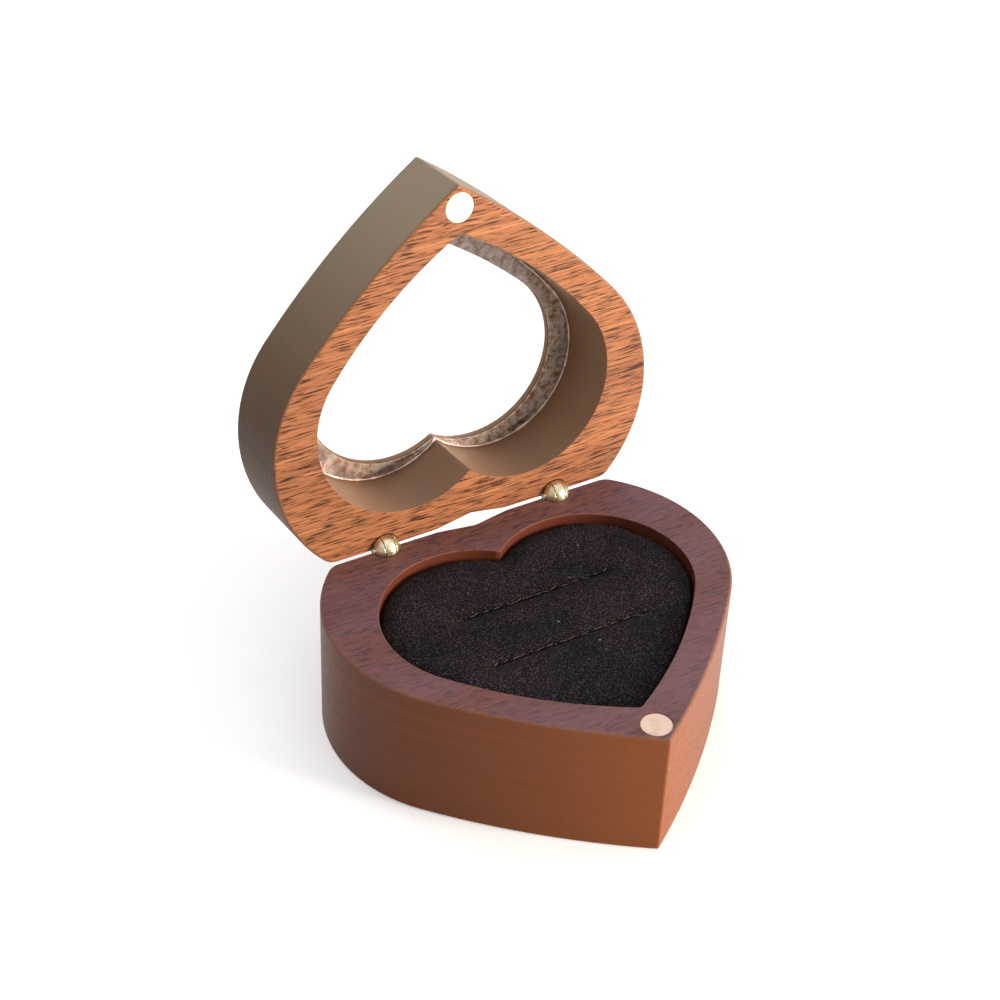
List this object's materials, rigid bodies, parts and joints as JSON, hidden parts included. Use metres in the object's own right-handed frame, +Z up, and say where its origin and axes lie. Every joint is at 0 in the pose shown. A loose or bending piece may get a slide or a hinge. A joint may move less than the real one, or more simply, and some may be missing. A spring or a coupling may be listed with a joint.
{
  "type": "ring box",
  "caption": "Heart-shaped wooden ring box with a windowed lid on brass barrel hinges, closing magnets and a slit velvet ring pad.",
  "frame": {"origin": "middle of the base's flat bottom face, halfway between the flat back and the tip", "axes": "+Z up, +Y towards the flat hinged back, -Y towards the tip, +X to the right when looking from the tip"},
  "size_m": [0.068, 0.08, 0.0815],
  "materials": {
    "walnut": "oiled walnut, sanded, fine open pores",
    "clear_pane": "clear polished acrylic sheet",
    "glue": "set cream glue",
    "velvet": "black flocked velvet",
    "foam": "open-cell foam",
    "nickel": "nickel plating, satin",
    "brass": "turned and milled brass",
    "steel_pin": "ground steel wire"
  },
  "bodies": {
    "base": {"base_block": "walnut", "foam_filler": "foam", "ring_pad": "velvet", "velvet_face": "velvet", "base_magnet": "nickel", "left_base_barrel": "brass", "right_base_barrel": "brass"},
    "lid": {"lid_frame": "walnut", "window_pane": "clear_pane", "window_glue": "glue", "lid_magnet": "nickel", "left_lid_barrel": "brass", "left_pin": "steel_pin", "right_lid_barrel": "brass", "right_pin": "steel_pin"}
  },
  "joints": [
    {"name": "lid_hinge", "type": "hinge", "parent": "base", "child": "lid", "pos_m": [0, 0.0295, 0.02307], "axis": [1, 0, 0], "range_deg": [0, 97]}
  ]
}
